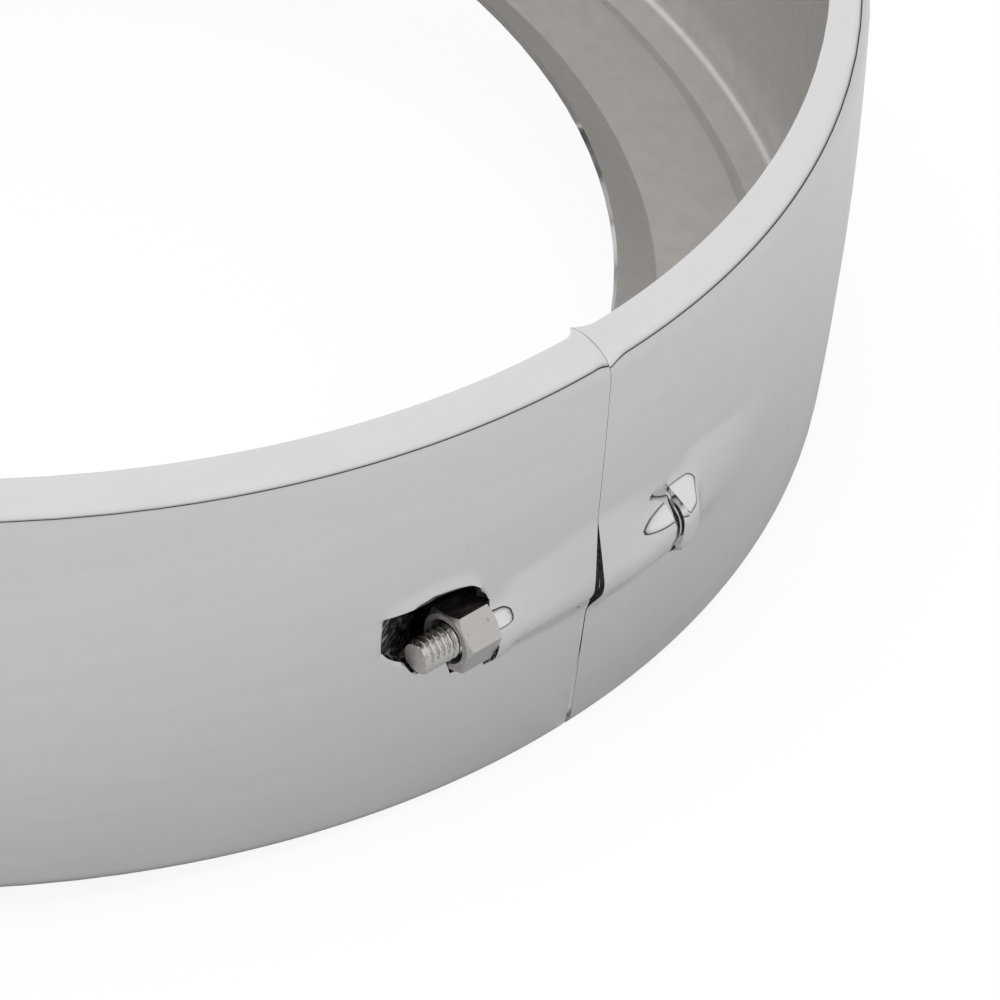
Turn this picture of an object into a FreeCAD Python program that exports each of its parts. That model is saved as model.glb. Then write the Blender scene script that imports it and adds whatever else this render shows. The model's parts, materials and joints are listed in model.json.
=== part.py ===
import FreeCAD, Part
import math
import os
import Sketcher
from FreeCAD import Placement, Rotation, Vector

# Chromed headlight ring with a visor peak, and the screw and nut that close it.
# Everything is drawn with the ring's axis along Z, its rear rim up, its split
# at -Y and its peak at +Y. The last step lays it down as it rests: face down,
# on the tip of the peak and on the front fold below the split.

DRIVING_SIZES = {
    # Ring: outer radius at the rear crease, wall down to the front fold
    "wall_radius": 100.0,
    "wall_depth": 40.7,
    "front_flare": 0.76,
    "wall_camber_radius": 370.0,
    "sheet_gauge": 0.6,
    # Rear bead, turned inwards and trimmed to the radius that grips the lamp
    "bead_radius": 3.2,
    "grip_inset": 4.3,
    # Front: fold, narrow land, shallow step, dished face and lens lip
    "fold_radius": 2.0,
    "land_inset": 4.4,
    "step_run": 1.6,
    "step_rise": 0.8,
    "face_run": 10.7,
    "face_rise": 1.6,
    "lip_run": 4.5,
    "lip_rise": 2.7,
    # Peak: hemmed double sheet that carries the wall forward
    "peak_reach": 27.0,
    "peak_gauge": 1.3,
    "peak_root_lift": 1.6,
    "peak_spread": 15.0,
    "peak_seat_angle": 60.0,
    # Split across the whole section, wider at the front
    "split_gap_rear": 0.2,
    "split_gap_front": 0.8,
    # Clamp screw, its seat and its slight skew in the ring
    "screw_radius": 1.75,
    "screw_length": 32.4,
    "screw_chamfer": 0.4,
    "head_radius": 2.75,
    "head_height": 2.1,
    "head_rim_height": 0.85,
    "head_shoulder_inset": 0.3,
    "head_shoulder_height": 1.6,
    "head_crown_radius": 1.75,
    "recess_width": 0.9,
    "recess_length": 3.0,
    "recess_depth": 1.1,
    "nut_flats": 6.0,
    "nut_height": 4.3,
    "nut_chamfer": 0.35,
    "nut_turn": 19.1,
    "thread_clearance": 0.05,
    "axis_inset": 0.25,
    "axis_depth": 22.5,
    "axis_toe": 3.2,
    "axis_climb": 2.1,
    # Raised tunnel over the screw, between the seats of its head and its nut
    "head_station": 10.8,
    "nut_station": 13.45,
    "roof_clearance": 0.15,
    "tunnel_rear_slope": 20.0,
    "tunnel_front_slope": 32.0,
    "flank_reach": 9.0,
    # Higher pocket over the head, which dives back into the wall
    "pocket_clearance": 0.25,
    "pocket_rear_slope": 38.0,
    "pocket_front_slope": 40.0,
    "pocket_dive": 29.0,
    "pocket_length": 25.0,
    # Trough sunk round the nut, and the opening that the lanced sheet leaves over it
    "trough_clearance": 0.25,
    "trough_length": 13.5,
    "trough_end_radius": 0.6,
    "window_start": 2.2,
    "window_height": 6.4,
    "window_length": 11.5,
    "window_corner": 2.0,
}
# How far the cutters run past what they cut, and how far in their hollow cores start
OVERRUN = 5.0
CORE_SHARE = 0.6
ALONG_SCREW = Vector(1, 0, 0)

doc = FreeCAD.newDocument("headlight_visor")


class Size:
    """A number that remembers the spreadsheet formula it comes from."""

    def __init__(self, value, formula):
        self.value = value
        self.formula = formula

    def _join(self, other, sign, value):
        text = other.formula if isinstance(other, Size) else repr(float(other))
        return Size(value, f"({self.formula} {sign} {text})")

    def __add__(self, other):
        return self._join(other, "+", self.value + number(other))

    def __sub__(self, other):
        return self._join(other, "-", self.value - number(other))

    def __mul__(self, other):
        return self._join(other, "*", self.value * number(other))

    def __truediv__(self, other):
        return self._join(other, "/", self.value / number(other))

    def __neg__(self):
        return Size(-self.value, f"(-{self.formula})")


def number(size):
    """Gives the plain number of a size or of a number."""
    return size.value if isinstance(size, Size) else float(size)


def sine(angle):
    """Gives the sine of an angle in degrees, as a size."""
    return Size(math.sin(math.radians(angle.value)), f"sin({angle.formula} * 1 deg)")


def cosine(angle):
    """Gives the cosine of an angle in degrees, as a size."""
    return Size(math.cos(math.radians(angle.value)), f"cos({angle.formula} * 1 deg)")


def fill_sheet():
    """Writes the driving sizes to the spreadsheet and gives them back as sizes."""
    sheet = doc.addObject("Spreadsheet::Sheet", "Sizes")
    sizes = {}
    for row, (name, value) in enumerate(DRIVING_SIZES.items(), start=1):
        sheet.set(f"A{row}", name)
        sheet.set(f"B{row}", str(value))
        sheet.setAlias(f"B{row}", name)
        sizes[name] = Size(value, f"Sizes.{name}")
    doc.recompute()
    return sizes


def bind(thing, **sizes):
    """Ties properties of an object to the spreadsheet."""
    for name, size in sizes.items():
        setattr(thing, name, number(size))
        if isinstance(size, Size):
            thing.setExpression(name, size.formula)
    return thing


def add(kind, name, **sizes):
    """Adds an object whose sizes are tied to the spreadsheet."""
    return bind(doc.addObject(kind, name), **sizes)


def joined(kind, name, first, second):
    """Adds a boolean of two objects."""
    result = doc.addObject(kind, name)
    result.Base = first
    result.Tool = second
    return result


def fused(name, *pieces):
    """Adds the fusion of several objects."""
    result = doc.addObject("Part::MultiFuse", name)
    result.Shapes = list(pieces)
    return result


class Drawing:
    """A sketch whose points and radii are tied to the spreadsheet."""

    def __init__(self, name, place):
        self.sketch = doc.addObject("Sketcher::SketchObject", name)
        self.sketch.Placement = place

    def line(self, start, end):
        """Draws a line between two points of sizes and gives its number."""
        return self.sketch.addGeometry(Part.LineSegment(flat(start), flat(end)), False)

    def arc(self, centre, radius, first, last):
        """Draws an arc between two angles in degrees and gives its number."""
        circle = Part.Circle(flat(centre), Vector(0, 0, 1), number(radius))
        curve = Part.ArcOfCircle(circle, math.radians(first), math.radians(last))
        return self.sketch.addGeometry(curve, False)

    def size(self, kind, *where, value):
        """Adds a dimension and ties it to the spreadsheet."""
        index = self.sketch.addConstraint(Sketcher.Constraint(kind, *where, number(value)))
        if isinstance(value, Size):
            self.sketch.setExpression(f"Constraints[{index}]", value.formula)

    def fix(self, curve, end, place):
        """Holds one end of a curve at a place."""
        self.size("DistanceX", -1, 1, curve, end, value=place[0])
        self.size("DistanceY", -1, 1, curve, end, value=place[1])

    def meet(self, kind, *where):
        """Adds a constraint that has no size, such as Tangent or Coincident."""
        self.sketch.addConstraint(Sketcher.Constraint(kind, *where))

    def polygon(self, corners):
        """Draws a closed outline of straight lines with every corner fixed."""
        count = len(corners)
        sides = [self.line(corners[i], corners[(i + 1) % count]) for i in range(count)]
        for i, side in enumerate(sides):
            self.fix(side, 1, corners[i])
            self.meet("Coincident", side, 2, sides[(i + 1) % count], 1)
        return self.sketch


def flat(place):
    """Gives the vector of a point on a sketch."""
    return Vector(number(place[0]), number(place[1]), 0)


def revolved(name, source, angle=360.0, start=0.0):
    """Turns a section about the ring's axis."""
    turn = doc.addObject("Part::Revolution", name)
    turn.Source = source
    turn.Axis = Vector(0, 0, 1)
    turn.Angle = angle
    turn.Solid = True
    turn.Placement = Placement(Vector(0, 0, 0), Rotation(Vector(0, 0, 1), start))
    return turn


def extruded(name, source, direction, length, reverse=0.0):
    """Extrudes a sketch along a direction."""
    block = doc.addObject("Part::Extrusion", name)
    block.Base = source
    block.DirMode = "Custom"
    block.Dir = direction
    block.Solid = True
    bind(block, LengthFwd=length, LengthRev=reverse)
    return block


size = fill_sheet()
section_plane = Placement(Vector(0, 0, 0), Rotation(Vector(1, 0, 0), 90))
clamp_place = Placement(
    Vector(0, (size["axis_inset"] - size["wall_radius"]).value, -size["axis_depth"].value),
    Rotation(Vector(0, 0, 1), -size["axis_toe"].value)
    * Rotation(Vector(0, 1, 0), -size["axis_climb"].value),
)
across_screw = Rotation(Vector(1, 1, 1), 120)
head_seat = clamp_place * Placement(
    Vector(size["head_station"].value, 0, 0), Rotation(Vector(0, 1, 0), 90))
nut_seat = clamp_place * Placement(
    Vector(-size["nut_station"].value, 0, 0), Rotation(Vector(0, 1, 0), -90))
front_depth = size["wall_depth"] + size["fold_radius"]
front_radius = size["wall_radius"] + size["front_flare"]
grip_radius = size["wall_radius"] - size["grip_inset"]


def wall_centre():
    """Gives the centre of the wall's camber, worked out from its two ends."""
    rear = Vector(size["wall_radius"].value, 0, 0)
    front = Vector(front_radius.value, -size["wall_depth"].value, 0)
    chord = front - rear
    bulge = math.sqrt(size["wall_camber_radius"].value ** 2 - (chord.Length / 2) ** 2)
    inward = Vector(chord.y, -chord.x, 0).normalize()
    return (rear + front) / 2 + inward * bulge


def angle_of(point, centre):
    """Gives the angle in degrees of a point seen from a centre."""
    return math.degrees(math.atan2(point.y - centre.y, point.x - centre.x))


def ring_line():
    """Draws the outer line of the ring's section, from the bead to the lens lip."""
    centre = wall_centre()
    crease = Vector(size["wall_radius"].value, 0, 0)
    foot = Vector(front_radius.value, -size["wall_depth"].value, 0)
    bead_centre = crease + (centre - crease).normalize() * size["bead_radius"].value
    fold_centre = foot + (centre - foot).normalize() * size["fold_radius"].value
    top_angle = angle_of(crease, centre)
    foot_angle = angle_of(foot, centre)
    trim = grip_radius - size["sheet_gauge"]
    end_angle = math.degrees(math.acos((trim.value - bead_centre.x) / size["bead_radius"].value))

    drawing = Drawing("ring_line", section_plane)
    bead = drawing.arc(bead_centre, size["bead_radius"], top_angle, end_angle)
    wall = drawing.arc(centre, size["wall_camber_radius"], foot_angle, top_angle)
    fold = drawing.arc(fold_centre, size["fold_radius"], -90, foot_angle)
    drawing.fix(wall, 2, (size["wall_radius"], 0))
    drawing.fix(wall, 1, (front_radius, -size["wall_depth"]))
    drawing.meet("Tangent", bead, 1, wall, 2)
    drawing.meet("Tangent", fold, 2, wall, 1)
    drawing.size("Radius", bead, value=size["bead_radius"])
    drawing.size("Radius", wall, value=size["wall_camber_radius"])
    drawing.size("Radius", fold, value=size["fold_radius"])
    drawing.size("DistanceX", -1, 1, bead, 2, value=trim)

    # Land, step, dished face and lens lip: each knee has a radius and a rise
    land = fold_centre.y - size["fold_radius"].value
    start = Vector(fold_centre.x, land, 0)
    radius = size["wall_radius"] - size["land_inset"]
    rise = None
    lines = []
    for band in ("land", "step", "face", "lip"):
        if band != "land":
            radius = radius - size[f"{band}_run"]
            rise = rise + size[f"{band}_rise"] if rise else size[f"{band}_rise"]
        end = Vector(radius.value, land + (rise.value if rise else 0), 0)
        line = drawing.line((start.x, start.y), (end.x, end.y))
        drawing.size("DistanceX", -1, 1, line, 2, value=radius)
        if rise:
            drawing.size("DistanceY", lines[0], 1, line, 2, value=rise)
            drawing.meet("Coincident", lines[-1], 2, line, 1)
        lines.append(line)
        start = end
    drawing.meet("Tangent", fold, 1, lines[0], 1)
    drawing.meet("Horizontal", lines[0])
    return drawing.sketch, fold_centre


def wall_guide(drawing):
    """Draws the wall's outer line as a guide and gives it with its centre."""
    centre = wall_centre()
    crease = Vector(size["wall_radius"].value, 0, 0)
    foot = Vector(front_radius.value, -size["wall_depth"].value, 0)
    guide = drawing.arc(centre, size["wall_camber_radius"],
                        angle_of(foot, centre), angle_of(crease, centre))
    drawing.sketch.toggleConstruction(guide)
    drawing.fix(guide, 2, (size["wall_radius"], 0))
    drawing.fix(guide, 1, (front_radius, -size["wall_depth"]))
    drawing.size("Radius", guide, value=size["wall_camber_radius"])
    return guide, centre, foot


def barrel(name, inset):
    """Turns what lies within the wall's outer face, less an inset, between its ends."""
    core = size["wall_radius"] * CORE_SHARE
    radius = size["wall_camber_radius"] - inset
    depth = size["wall_depth"]
    drawing = Drawing(f"{name}_line", section_plane)
    guide, centre, foot = wall_guide(drawing)
    ends = [math.asin((height - centre.y) / radius.value) for height in (-depth.value, 0)]
    wall = drawing.arc(centre, radius, *[math.degrees(end) for end in ends])
    drawing.meet("Coincident", wall, 3, guide, 3)
    drawing.size("Radius", wall, value=radius)
    drawing.size("DistanceY", -1, 1, wall, 1, value=-depth)
    drawing.meet("PointOnObject", wall, 2, -1)
    foot_x, top_x = [centre.x + radius.value * math.cos(end) for end in ends]
    corners = [(top_x, 0), (core, 0), (core, -depth), (foot_x, -depth)]
    lines = [drawing.line(corners[i], corners[i + 1]) for i in range(3)]
    drawing.fix(lines[0], 2, corners[1])
    drawing.fix(lines[1], 2, corners[2])
    drawing.meet("Coincident", lines[0], 2, lines[1], 1)
    drawing.meet("Coincident", lines[1], 2, lines[2], 1)
    drawing.meet("Coincident", lines[0], 1, wall, 2)
    drawing.meet("Coincident", lines[2], 2, wall, 1)
    return revolved(name, drawing.sketch)


def sheet_face(name, line, gauge):
    """Thickens the open line of a section inwards, to the face of a sheet."""
    face = doc.addObject("Part::Offset2D", name)
    face.Source = line
    face.Mode = "Skin"
    face.Join = "Arc"
    face.Fill = True
    return bind(face, Value=gauge)


def peak_outline(fold_centre):
    """Draws the section of the peak, which carries on the camber of the wall."""
    drawing = Drawing("peak_outline", section_plane)
    guide, centre, foot = wall_guide(drawing)
    camber = size["wall_camber_radius"]
    tip_depth = front_depth + size["peak_reach"]
    tip_angle = math.degrees(math.asin((-tip_depth.value - centre.y) / camber.value))
    seat = size["fold_radius"] - size["sheet_gauge"] / 2
    seat_angle = math.radians(size["peak_seat_angle"].value)
    root = fold_centre + Vector(math.cos(seat_angle), -math.sin(seat_angle), 0) * seat.value
    inner = camber - size["peak_gauge"]
    inner_angle = math.degrees(math.asin((root.y - centre.y) / inner.value))

    outer_arc = drawing.arc(centre, camber, tip_angle, angle_of(foot, centre))
    inner_arc = drawing.arc(centre, inner, tip_angle, inner_angle)
    drawing.meet("Coincident", outer_arc, 3, guide, 3)
    drawing.meet("Coincident", inner_arc, 3, guide, 3)
    drawing.meet("Coincident", outer_arc, 2, guide, 1)
    drawing.size("Radius", inner_arc, value=inner)
    drawing.size("DistanceY", -1, 1, outer_arc, 1, value=-tip_depth)
    drawing.size("DistanceY", -1, 1, inner_arc, 1, value=-tip_depth)
    drawing.size("DistanceY", -1, 1, inner_arc, 2, value=root.y)
    ends = drawing.sketch.Geometry
    chords = [
        (outer_arc, 2, foot, root),
        (inner_arc, 2, ends[inner_arc].EndPoint, root),
        (inner_arc, 1, ends[inner_arc].StartPoint, ends[outer_arc].StartPoint),
    ]
    lines = []
    for arc, end, start, finish in chords:
        line = drawing.line((start.x, start.y), (finish.x, finish.y))
        drawing.meet("Coincident", line, 1, arc, end)
        lines.append(line)
    drawing.fix(lines[0], 2, (root.x, root.y))
    drawing.meet("Coincident", lines[1], 2, lines[0], 2)
    drawing.meet("Coincident", lines[2], 2, outer_arc, 1)
    return drawing.sketch


def peak_trim_arc():
    """Gives the radius and two ends of the curve along which the peak is trimmed."""
    root_depth = front_depth - size["peak_root_lift"]
    tip_depth = front_depth + size["peak_reach"]
    across = front_radius + size["peak_spread"]
    down = tip_depth - root_depth
    radius = (across * across + down * down) / (down * 2)
    return radius, (-size["peak_spread"], -root_depth), (front_radius, -tip_depth)


def peak():
    """Turns the peak over the front of the ring and trims it along a long curve."""
    spread = math.degrees(math.asin((size["peak_spread"] / front_radius).value))
    band = revolved("peak_band", peak_outline(fold_centre),
                    angle=180 + 2 * spread, start=-spread)
    radius, root, tip = peak_trim_arc()
    floor = tip[1] * 2
    centre = (root[0], root[1] - radius)
    tip_angle = math.degrees(math.acos(((tip[0] - centre[0]) / radius).value))
    drawing = Drawing("peak_trim_line", Placement(Vector(0, 0, 0), across_screw))
    arc = drawing.arc(centre, radius, tip_angle, 90)
    corners = [root, (root[0] - OVERRUN, root[1]), (root[0] - OVERRUN, floor),
               (tip[0], floor), tip]
    lines = [drawing.line(corners[i], corners[i + 1]) for i in range(4)]
    for i, line in enumerate(lines):
        drawing.fix(line, 1, corners[i])
        if i:
            drawing.meet("Coincident", lines[i - 1], 2, line, 1)
    drawing.fix(lines[3], 2, tip)
    drawing.meet("Coincident", arc, 2, lines[0], 1)
    drawing.meet("Coincident", arc, 1, lines[3], 2)
    drawing.size("Radius", arc, value=radius)
    far = front_radius * 2
    trim = extruded("peak_trim", drawing.sketch, Vector(1, 0, 0), far, far)
    return joined("Part::Cut", "peak", band, trim)


def bell(name, roof, station, direction, length):
    """Extrudes a bell shape, a round roof over the screw with a flank on either side."""
    drawing = Drawing(f"{name}_line", clamp_place * Placement(
        Vector(number(station), 0, 0), across_screw))
    form = name.split("_")[0]
    front, rear = size[f"{form}_front_slope"], size[f"{form}_rear_slope"]
    arc = drawing.arc((0, 0), roof, 180 - rear.value, 180 + front.value)
    drawing.size("Radius", arc, value=roof)
    reach = size["flank_reach"]
    corners = [(reach, -reach), (reach, reach)]
    for slope, side in ((front, -1), (rear, 1)):
        shoulder_x = -(roof * cosine(slope))
        shoulder_y = roof * sine(slope)
        skirt_x = shoulder_x + (reach - shoulder_y) * (sine(slope) / cosine(slope))
        flank = [(shoulder_x, shoulder_y * side), (skirt_x, reach * side)]
        corners = flank + corners if side < 0 else corners + flank[::-1]
    lines = [drawing.line(corners[i], corners[i + 1]) for i in range(5)]
    drawing.meet("Coincident", arc, 2, lines[0], 1)
    drawing.meet("Coincident", lines[4], 2, arc, 1)
    for i, line in enumerate(lines):
        drawing.fix(line, 1, corners[i])
        if i:
            drawing.meet("Coincident", lines[i - 1], 2, line, 1)
    drawing.fix(lines[4], 2, corners[5])
    return extruded(name, drawing.sketch, clamp_place.Rotation.multVec(direction), length)


def tunnel(name, wall):
    """Makes the tunnel over the screw, from the seat of its nut to that of its head."""
    roof = size["screw_radius"] + size["roof_clearance"] + wall
    length = size["nut_station"] + size["head_station"]
    return bell(name, roof, -size["nut_station"], ALONG_SCREW, length)


def pocket(name, wall):
    """Makes the pocket that stands over the head and dives back into the wall."""
    roof = size["head_radius"] + size["pocket_clearance"] + wall
    start = size["head_station"]
    over_head = pocket_straight()
    dive = math.radians(size["pocket_dive"].value)
    inward = Vector(math.cos(dive), math.sin(dive), 0)
    return [
        bell(f"{name}_over_head", roof, start, ALONG_SCREW, over_head),
        bell(f"{name}_dive", roof, start + over_head, inward, size["pocket_length"]),
    ]


def pocket_straight():
    """Gives how far the pocket runs straight over the head before it dives."""
    return size["head_height"] + size["pocket_clearance"]


def nut_corner():
    """Gives the radius of the nut's corners, from the size over its flats."""
    half_side = Size(30.0, "30")
    return size["nut_flats"] / 2 / cosine(half_side)


def trough(name, wall):
    """Makes the trough round the nut, which tapers out away from the split."""
    wide = nut_corner() + size["trough_clearance"] + wall
    narrow = size["trough_end_radius"] + wall
    length = size["trough_length"]
    drawing = Drawing(f"{name}_line", section_plane)
    outline = drawing.polygon([
        (0, 0), (wide, 0), (wide, size["nut_height"]), (narrow, length), (0, length)])
    hollow = revolved(name, outline)
    hollow.Placement = nut_seat
    return hollow


def window():
    """Makes the cutter of the opening that the lanced sheet leaves above the nut."""
    near = -size["nut_station"]
    far = near - size["window_length"]
    corner = size["window_corner"]
    start = size["window_start"]
    top = size["window_height"]
    shoulder = top - corner
    drawing = Drawing("window_outline", clamp_place * section_plane)
    near_arc = drawing.arc((near - corner, shoulder), corner, 0, 90)
    far_arc = drawing.arc((far + corner, shoulder), corner, 90, 180)
    sides = [
        ((far + corner, top), (near - corner, top)),
        ((near, shoulder), (near, start)),
        ((near, start), (far + corner, start)),
        ((far + corner, start), (far, shoulder)),
    ]
    lines = []
    for first, last in sides:
        line = drawing.line(first, last)
        drawing.fix(line, 1, first)
        drawing.fix(line, 2, last)
        lines.append(line)
    for arc, first, last in ((near_arc, (lines[1], 1), (lines[0], 2)),
                             (far_arc, (lines[0], 1), (lines[3], 2))):
        drawing.size("Radius", arc, value=corner)
        drawing.meet("Coincident", arc, 1, *first)
        drawing.meet("Coincident", arc, 2, *last)
    outward = clamp_place.Rotation.multVec(Vector(0, -1, 0))
    return extruded("window", drawing.sketch, outward, OVERRUN, OVERRUN)


def visor_shell():
    """Builds the ring and peak as one sheet, with its split, tunnel and openings."""
    gauge = size["sheet_gauge"]
    ring = revolved("ring_sheet", sheet_face("ring_face", ring_sketch, gauge))
    grip = add("Part::Cylinder", "grip_trim", Radius=grip_radius,
               Height=size["bead_radius"] + OVERRUN)
    outside = barrel("barrel_outside", gauge * 0)
    inside = barrel("barrel_inside", gauge)

    raised = fused("raised_forms", tunnel("tunnel_block", gauge), *pocket("pocket", gauge))
    proud = joined("Part::Cut", "forms_on_wall", raised, inside)
    sunk = joined("Part::Common", "trough_in_wall", trough("trough_block", gauge), outside)
    trimmed = joined("Part::Cut", "ring_trimmed", ring, grip)
    whole = fused("shell_whole", trimmed, proud, sunk, peak())
    cutters = fused("shell_cutters", tunnel("tunnel_bore", 0), *pocket("pocket_hollow", 0),
                    trough("trough_hollow", 0), window(), split_cutter())
    return joined("Part::Cut", "visor_shell", whole, cutters)


def split_cutter():
    """Makes the wedge that splits the section, from the rear bead to the lens lip."""
    depth = front_depth + OVERRUN
    rear = size["split_gap_rear"] / 2
    front = size["split_gap_front"] / 2
    drawing = Drawing("split_line", section_plane)
    outline = drawing.polygon([
        (-rear, OVERRUN), (-front, -depth), (front, -depth), (rear, OVERRUN)])
    return extruded("split", outline, Vector(0, -1, 0), size["wall_radius"] + OVERRUN)


def clamp_screw():
    """Builds the pan-head screw, with its head's underside at the level of zero."""
    shank = size["screw_radius"]
    head = size["head_radius"]
    height = size["head_height"]
    tip = -size["screw_length"]
    bevel = size["screw_chamfer"]
    drawing = Drawing("screw_line", section_plane)
    outline = drawing.polygon([
        (0, tip), (shank - bevel, tip), (shank, tip + bevel), (shank, 0), (head, 0),
        (head, size["head_rim_height"]),
        (head - size["head_shoulder_inset"], size["head_shoulder_height"]),
        (size["head_crown_radius"], height), (0, height)])
    body = revolved("screw_body", outline)
    slots = []
    for index, turn in enumerate((0, 90)):
        slot = add("Part::Box", f"recess_{index}", Length=size["recess_length"],
                   Width=size["recess_width"], Height=size["recess_depth"] * 2)
        corner = Vector(-slot.Length / 2, -slot.Width / 2, (height - size["recess_depth"]).value)
        slot.Placement = Placement(Vector(0, 0, 0), Rotation(Vector(0, 0, 1), turn)) * Placement(
            corner, Rotation())
        slots.append(slot)
    return joined("Part::Cut", "clamp_screw", body, fused("recess", *slots))


def clamp_nut():
    """Builds the tall hexagon nut, bevelled at both ends, with its seat at zero."""
    flat_half = size["nut_flats"] / 2
    corner = nut_corner()
    prism = add("Part::Prism", "nut_prism", Circumradius=corner, Height=size["nut_height"])
    prism.Polygon = 6
    bevel = size["nut_chamfer"]
    drawing = Drawing("nut_bevel_line", section_plane)
    outline = drawing.polygon([
        (0, 0), (flat_half, 0), (corner, bevel), (corner, size["nut_height"] - bevel),
        (flat_half, size["nut_height"]), (0, size["nut_height"])])
    bevelled = joined("Part::Common", "nut_bevelled", prism, revolved("nut_bevel", outline))
    bore = add("Part::Cylinder", "nut_bore", Radius=size["screw_radius"] + size["thread_clearance"],
               Height=size["nut_height"])
    return joined("Part::Cut", "clamp_nut", bevelled, bore)


def rest_place():
    """Gives the place of the ring as it lies, on the peak's tip and the front fold."""
    # The tip is where the curve of the trim meets the peak's outer face
    centre = wall_centre()
    camber = size["wall_camber_radius"].value
    radius, root, _ = peak_trim_arc()
    trim_centre = Vector(number(root[0]), number(root[1] - radius), 0)
    span = trim_centre - centre
    along = (camber ** 2 - radius.value ** 2 + span.Length ** 2) / (2 * span.Length)
    aside = math.sqrt(camber ** 2 - along ** 2)
    step = span.normalize()
    meeting = centre + step * along + Vector(-step.y, step.x, 0) * aside
    tip, tip_height = meeting.x, meeting.y

    across = tip + fold_centre.x
    drop = tip_height - fold_centre.y
    fold = size["fold_radius"].value
    tilt = math.asin(-fold / math.hypot(across, drop)) + math.atan2(-drop, across)
    up = fold + fold_centre.x * math.sin(tilt) - fold_centre.y * math.cos(tilt)
    front_end = tip * math.cos(tilt) - tip_height * math.sin(tilt)
    roof = size["head_radius"] + size["pocket_clearance"] + size["sheet_gauge"]
    shoulder = size["head_station"] + pocket_straight()
    ridge = clamp_place.multVec(Vector(shoulder.value, -roof.value, 0))
    back_end = ridge.y * math.cos(tilt) - ridge.z * math.sin(tilt)
    middle = (front_end + back_end) / 2
    print("rest tilt in degrees:", round(math.degrees(tilt), 3))
    return Placement(Vector(0, -middle, up), Rotation(Vector(1, 0, 0), math.degrees(tilt)))


ring_sketch, fold_centre = ring_line()
doc.recompute()
shell = visor_shell()
screw = clamp_screw()
nut = clamp_nut()
doc.recompute()

rest = rest_place()
shell.Placement = rest
screw.Placement = rest * head_seat
nut.Placement = rest * nut_seat * Placement(
    Vector(0, 0, 0), Rotation(Vector(0, 0, 1), -size["nut_turn"].value))
nodes = {"visor_shell": shell, "clamp_screw": screw, "clamp_nut": nut}
for label, node in nodes.items():
    node.Label = label
doc.recompute()

for thing in doc.Objects:
    if "Invalid" in thing.State or "Error" in thing.State:
        raise RuntimeError(f"{thing.Name} failed: {thing.State}")
os.makedirs("parts", exist_ok=True)
for label, node in nodes.items():
    shape = node.Shape
    if shape.isNull() or not shape.isValid() or len(shape.Solids) != 1:
        raise RuntimeError(f"{label} is not one valid solid")
    shape.exportStep(f"parts/{label}.step")
    print(label, "volume in cubic millimetres:", round(shape.Volume, 1))
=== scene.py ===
import json
import logging
import math
from dataclasses import dataclass, field
from enum import Enum

import bmesh
import bpy
import numpy as np
from mathutils import Matrix, Vector

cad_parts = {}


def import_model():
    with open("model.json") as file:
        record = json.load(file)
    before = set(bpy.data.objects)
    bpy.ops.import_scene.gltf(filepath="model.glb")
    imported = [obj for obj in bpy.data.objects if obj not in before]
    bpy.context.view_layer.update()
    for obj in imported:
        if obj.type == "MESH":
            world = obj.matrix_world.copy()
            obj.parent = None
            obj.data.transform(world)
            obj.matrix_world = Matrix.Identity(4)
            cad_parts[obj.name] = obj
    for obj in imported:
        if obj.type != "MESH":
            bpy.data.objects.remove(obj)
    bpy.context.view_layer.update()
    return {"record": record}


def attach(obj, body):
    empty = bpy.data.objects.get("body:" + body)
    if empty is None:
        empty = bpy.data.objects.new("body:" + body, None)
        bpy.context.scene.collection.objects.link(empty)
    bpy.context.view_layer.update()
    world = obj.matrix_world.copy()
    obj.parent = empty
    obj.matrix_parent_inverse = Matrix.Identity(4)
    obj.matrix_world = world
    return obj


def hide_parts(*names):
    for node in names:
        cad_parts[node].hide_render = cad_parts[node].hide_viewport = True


# A chromed headlight ring with a visor peak, seen from behind and outside where
# its split is drawn closed by a small screw and nut. All sizes of the object are
# in millimetres in its own ring frame: the ring's axis along Z, the rear rim up
# at Z = 0, the split at -Y and the peak at +Y. The last step of each mesh lays it
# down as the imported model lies, in metres.

MM = 0.001
GRIP_BEHIND_CREASE = 2.44
log = logging.getLogger("visor")


def linear(hex_colour: str) -> tuple[float, float, float, float]:
    """Turns an sRGB hex colour into linear light.

    Args:
        hex_colour: Six hex digits, such as "C8CACC".

    Returns:
        Red, green, blue and an alpha of one.
    """
    parts = [int(hex_colour[i:i + 2], 16) / 255 for i in (0, 2, 4)]
    light = [p / 12.92 if p <= 0.04045 else ((p + 0.055) / 1.055) ** 2.4 for p in parts]
    return (light[0], light[1], light[2], 1.0)


def smooth(value: np.ndarray | float, low: float, high: float) -> np.ndarray:
    """Gives a smooth step from 0 at one value to 1 at another.

    Args:
        value: Where the step is read.
        low: The value at which it is 0.
        high: The value at which it is 1.

    Returns:
        The step, from 0 to 1.
    """
    t = np.clip((np.asarray(value, float) - low) / (high - low), 0, 1)
    return t * t * (3 - 2 * t)


def flank(t: np.ndarray, rounding: float = 0.28) -> np.ndarray:
    """Gives a straight slope from 1 to 0 with a rounded shoulder and foot.

    Args:
        t: The share of the way down the slope.
        rounding: The share of the way that each end's rounding takes.

    Returns:
        The height, from 1 at the top to 0 at the foot.
    """
    t = np.clip(t, 0, 1)
    rate = 1 / (1 - rounding)
    top = rate * t * t / (2 * rounding)
    middle = rate * (t - rounding / 2)
    foot = 1 - rate * (1 - t) ** 2 / (2 * rounding)
    return 1 - np.where(t < rounding, top, np.where(t > 1 - rounding, foot, middle))


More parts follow.
